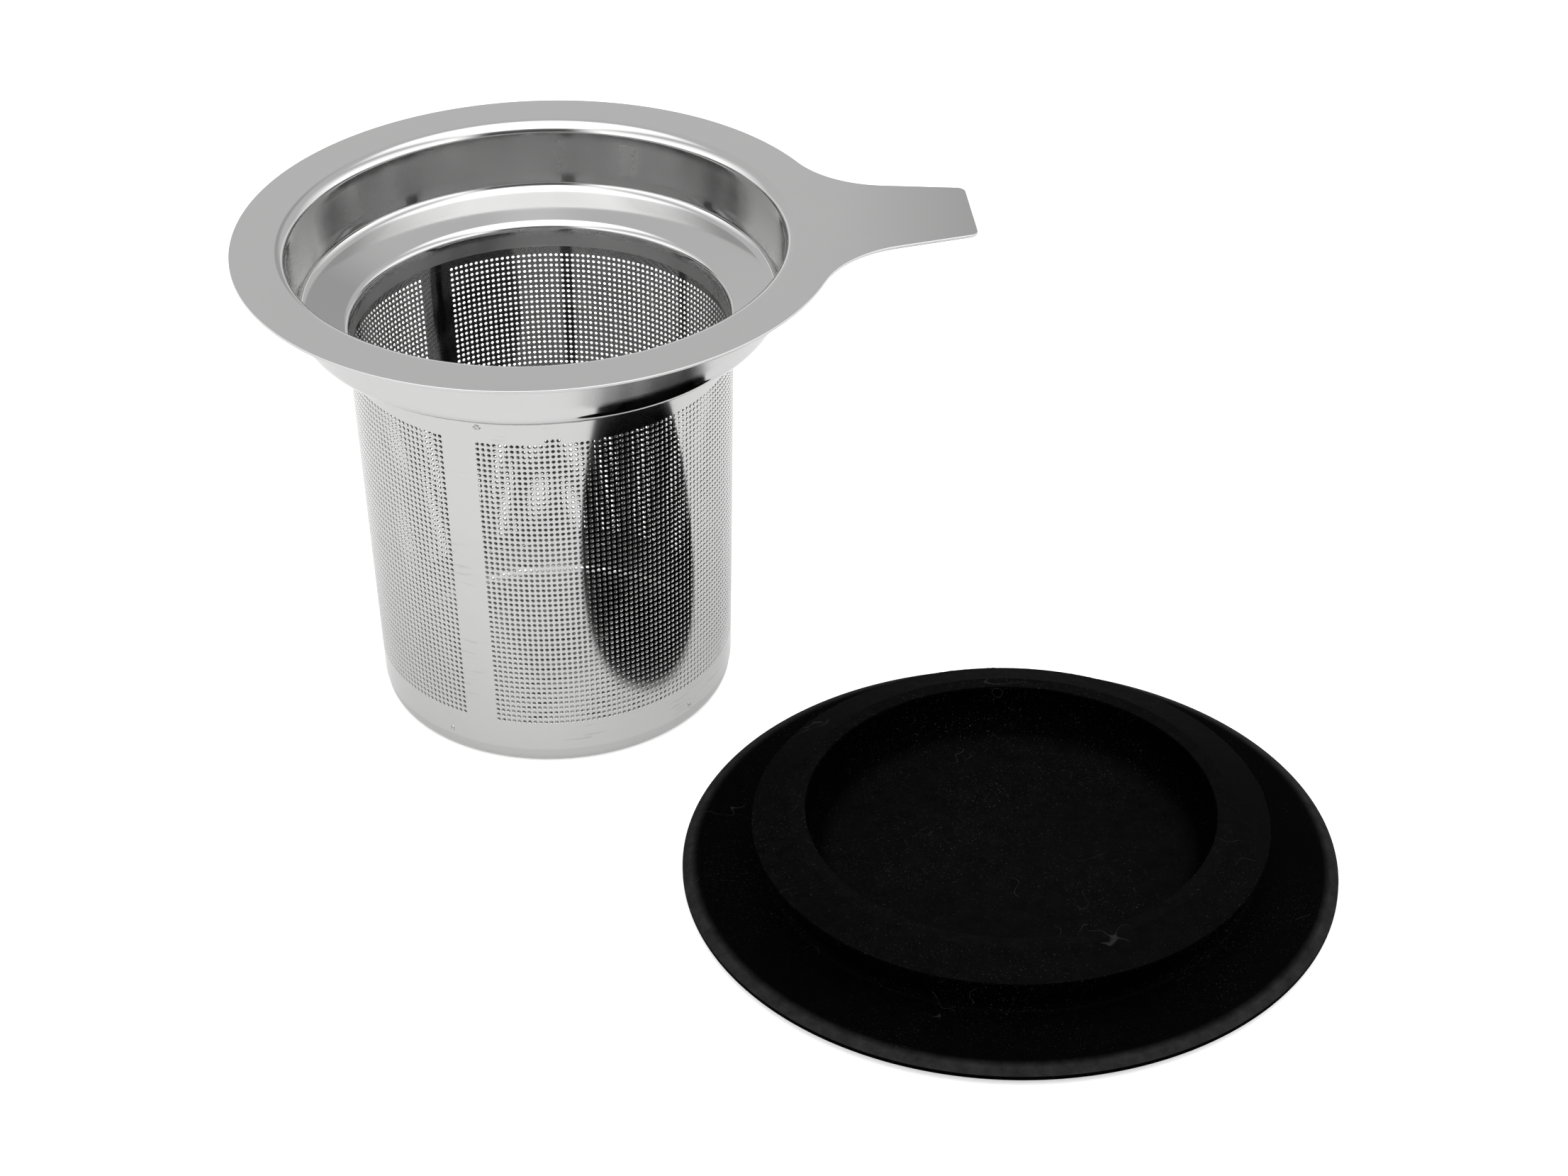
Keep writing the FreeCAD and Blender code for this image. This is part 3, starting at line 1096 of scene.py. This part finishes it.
def make_lid(finish):
    points, faces, normals = turned(lid_section(), lid_columns, with_flash)
    mesh = polished_mesh("lid", np.asarray(points) + lid_centre, faces, normals)
    return add_piece("moulded_lid", mesh, finish)


# %% [markdown]
# Black silicone is dull and gathers dust. Its material is a very dark base with a soft, broad
# highlight. Dust is fine grey specks in loose patches, and lint is made from the thin level lines
# of a smooth noise, kept only in a few places, which leaves short curved hairs. Faces that look up
# are a lighter grey, partly dust and partly painted light from above, and the rim's shoulder has a
# painted highlight band.

# %% The silicone's finish
film_grey = 0.0003
# Painted light from above, mixed with dust, on faces that look up.
level_dust_and_painted_light_grey = 0.0036
# A painted highlight on the rim's shoulder.
shoulder_painted_highlight_grey = 0.024
dust_grey = 0.030
lint_grey = 0.012
outside_share = 0.25
plug_start, plug_end = 2.80, 2.86
shoulder_start, shoulder_end = 42, 44
hair_width = 0.006
haze_relief = 0.02
lid_gloss = 0.008


def silicone(name):
    material, tree, shader = principled(name)
    place = object_place(tree)

    patches = spread(tree, noise_at(tree, place, scale=45, detail=4, roughness=0.6), 0.35, 0.75)
    specks = spread(tree, noise_at(tree, place, scale=4500, detail=1, roughness=0.6), 0.66, 0.76)
    haze_and_painted_light = noise_at(tree, place, scale=500, detail=5, roughness=0.7)

    # Haze lies on faces that look up, most of all inside the plug, and on the rim's shoulder. On the
    # faces that look up its grey is partly dust and partly painted light from above. On the shoulder
    # it is a painted highlight.
    upward = parts_of(tree, face_normal(tree))["Z"]
    in_plug = spread(tree, parts_of(tree, place)["Z"], plug_start * MM, plug_end * MM)
    level = product(tree, spread(tree, upward, 0.75, 0.99),
                    plus(tree, outside_share, in_plug, 1 - outside_share))
    slope = product(tree, spread(tree, upward, 0.05, 0.35), fade(tree, upward, 0.93, 0.99))
    far = vector_maths(tree, "DISTANCE", place, tuple(lid_centre * MM))["Value"]
    shoulder = product(tree, slope, spread(tree, far, shoulder_start * MM, shoulder_end * MM))

    hair_noise = noise_at(tree, place, scale=210, detail=1, roughness=0.4)
    hair_line = maths(tree, "ABSOLUTE", maths(tree, "SUBTRACT", hair_noise, 0.5))
    kept = spread(tree, noise_at(tree, place, scale=140, detail=0), 0.70, 0.72)

    # Dust, lint and haze, with painted light on faces that look up and a painted highlight on the rim's
    # shoulder.
    grey = 0.0
    for mask, amount in (
        (product(tree, haze_and_painted_light, patches), film_grey),
        (product(tree, haze_and_painted_light, level), level_dust_and_painted_light_grey),
        (product(tree, haze_and_painted_light, shoulder), shoulder_painted_highlight_grey),
        (product(tree, specks, patches), dust_grey),
        (product(tree, fade(tree, hair_line, 0.0, hair_width), kept), lint_grey),
    ):
        grey = plus(tree, grey, mask, amount)
    colour = new_node(tree, "ShaderNodeCombineColor", {"Red": grey, "Green": grey, "Blue": grey})
    fill(tree, shader, {"Base Color": colour.outputs[0],
                        "Roughness": spread(tree, haze_and_painted_light, 0.3, 0.7, 0.62, 0.8),
                        "Specular IOR Level": lid_gloss,
                        "Normal": relief(tree, haze_and_painted_light, haze_relief, strength=0.5)})
    print("made finish", name)
    return material


lid_finish = silicone("Lid silicone")
lid = make_lid(lid_finish)

# %% [markdown]
# ## Join the pieces to the frame
#
# Every metal piece rides on the basket and the moulding rides on the lid's body. Each one stands
# for the plain CAD node of the same part.

# %% Ride and replace
for piece, node, slot in (
    [(collar, "rim_collar", "collar_steel"), (base, "base_cup", "base_steel"),
     (collar_marks, "collar_spot_welds", "weld_steel"), (base_marks, "base_spot_welds", "weld_steel"),
     (seam_marks, "seam_spot_welds", "weld_steel")]
    + [(part, "mesh_sleeve", "sleeve_steel") for part in sleeve_parts]
):
    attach(piece, "basket")
    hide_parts(node)
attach(lid, "lid")
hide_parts("silicone_lid")

# %% [markdown]
# ## Table and light
#
# The set is a plain white table in a bright room. Mirror steel shows what is round it, so the room
# matters as much as the steel: the white table below, an even grey room, one broad soft box
# overhead and an upright panel on each side of the camera. They are painted on the world by
# direction, which makes very soft, clean light. The table gives a little light of its own, and a
# little more where the camera sees it, so it stays clean white right up to the object.

# %% The table
table_half = 3000
table_sink = 0.02
table_glow = 0.15
table_lift = 0.30


def make_table():
    across = ((-1, -1), (1, -1), (1, 1), (-1, 1))
    mesh = mesh_of("table", [(x * table_half, y * table_half, -table_sink) for x, y in across],
                   [(0, 1, 2, 3)])
    table = add_object("table", mesh)
    material, tree, shader = principled("White table")
    seen = tree.nodes.new("ShaderNodeLightPath").outputs["Is Camera Ray"]
    fill(tree, shader, {"Base Color": (0.72, 0.72, 0.72, 1), "Roughness": 0.9,
                        "Specular IOR Level": 0.1, "Emission Color": (1, 1, 1, 1),
                        "Emission Strength": plus(tree, table_glow, seen, table_lift)})
    mesh.materials.append(material)


make_table()

# %% [markdown]
# The room is a few masks, each 1 where its part of the room is and 0 elsewhere. Most of them are
# drawn on two angles: side, the turn away from straight behind the camera, and rise, the height
# above the table. The corner is a slightly darker stretch of wall behind the object, to the right.

# %% The room and its soft lights
room_level = 0.86
ceiling_level = 2.1
side_level = 1.4
horizon_level = 0.38
corner_share = 0.26
dark_share = 0.85


def make_room():
    world = bpy.data.worlds.new("Studio")
    bpy.context.scene.world = world
    world.use_nodes = True
    tree = world.node_tree
    x, y, z = parts_of(tree, tree.nodes.new("ShaderNodeTexCoord").outputs["Generated"])
    side = maths(tree, "ABSOLUTE", maths(tree, "ARCTAN2", x, product(tree, y, -1)))
    rise = maths(tree, "ARCSINE", z)

    def turn(angle, full, none):
        """A fade over an angle, given in degrees."""
        return fade(tree, angle, math.radians(full), math.radians(none))

    # A broad soft box overhead, seen as a rectangle on the ceiling. It leans towards the camera.
    height = maths(tree, "MAXIMUM", z, 0.01)
    across = maths(tree, "ABSOLUTE", maths(tree, "DIVIDE", x, height))
    along = maths(tree, "DIVIDE", y, height)
    ceiling = product(tree, fade(tree, across, 0.35, 0.95), fade(tree, along, 0.16, 0.50),
                      fade(tree, along, -1.35, -1.75))

    # An upright panel on each side of the camera, the unlit room between them, and the low white
    # wall that the table runs up to behind the object.
    panels = product(tree, turn(side, 36, 20), turn(side, 90, 130), turn(rise, 20, 42))
    unlit = product(tree, turn(side, 17, 30), turn(rise, 18, 34))
    horizon = product(tree, turn(side, 130, 100), turn(rise, 4, 9))
    corner = product(tree, spread(tree, x, 0.10, 0.15), fade(tree, x, 0.30, 0.45), turn(rise, 36, 50),
                     spread(tree, y, 0.5, 0.7))

    level = room_level
    for mask, amount in ((unlit, -room_level * dark_share), (ceiling, ceiling_level),
                         (panels, side_level), (horizon, horizon_level), (corner, -corner_share)):
        level = plus(tree, level, mask, amount)
    fill(tree, tree.nodes["Background"], {"Strength": level, "Color": (1, 1, 1, 1)})


make_room()

# %% [markdown]
# ## Camera
#
# The camera looks down on the set from in front, a third of a right angle above the table, with a
# long lens that keeps the circles from stretching. It is turned very slightly off level.

# %% The camera
camera_place = Vector((-7.78, -445.64, 311.18)) * MM
camera_aim = Vector((30.95, -37.53, 36.0)) * MM
camera_roll = math.radians(-0.71)
camera_lens = 81.78
camera_sensor = 36.0
camera_near = 0.01


def make_camera():
    camera = add_object("camera", bpy.data.cameras.new("camera"))
    camera.data.lens = camera_lens
    camera.data.sensor_width = camera_sensor
    camera.data.clip_start = camera_near
    look = (camera_aim - camera_place).to_track_quat("-Z", "Y").to_matrix()
    turned_look = look @ Matrix.Rotation(camera_roll, 3, "Z")
    camera.location = camera_place
    camera.rotation_mode = "QUATERNION"
    camera.rotation_quaternion = turned_look.to_quaternion()
    bpy.context.scene.camera = camera
    print("camera right", turned_look.col[0], "up", turned_look.col[1])


make_camera()
bpy.context.scene.view_settings.view_transform = "Standard"
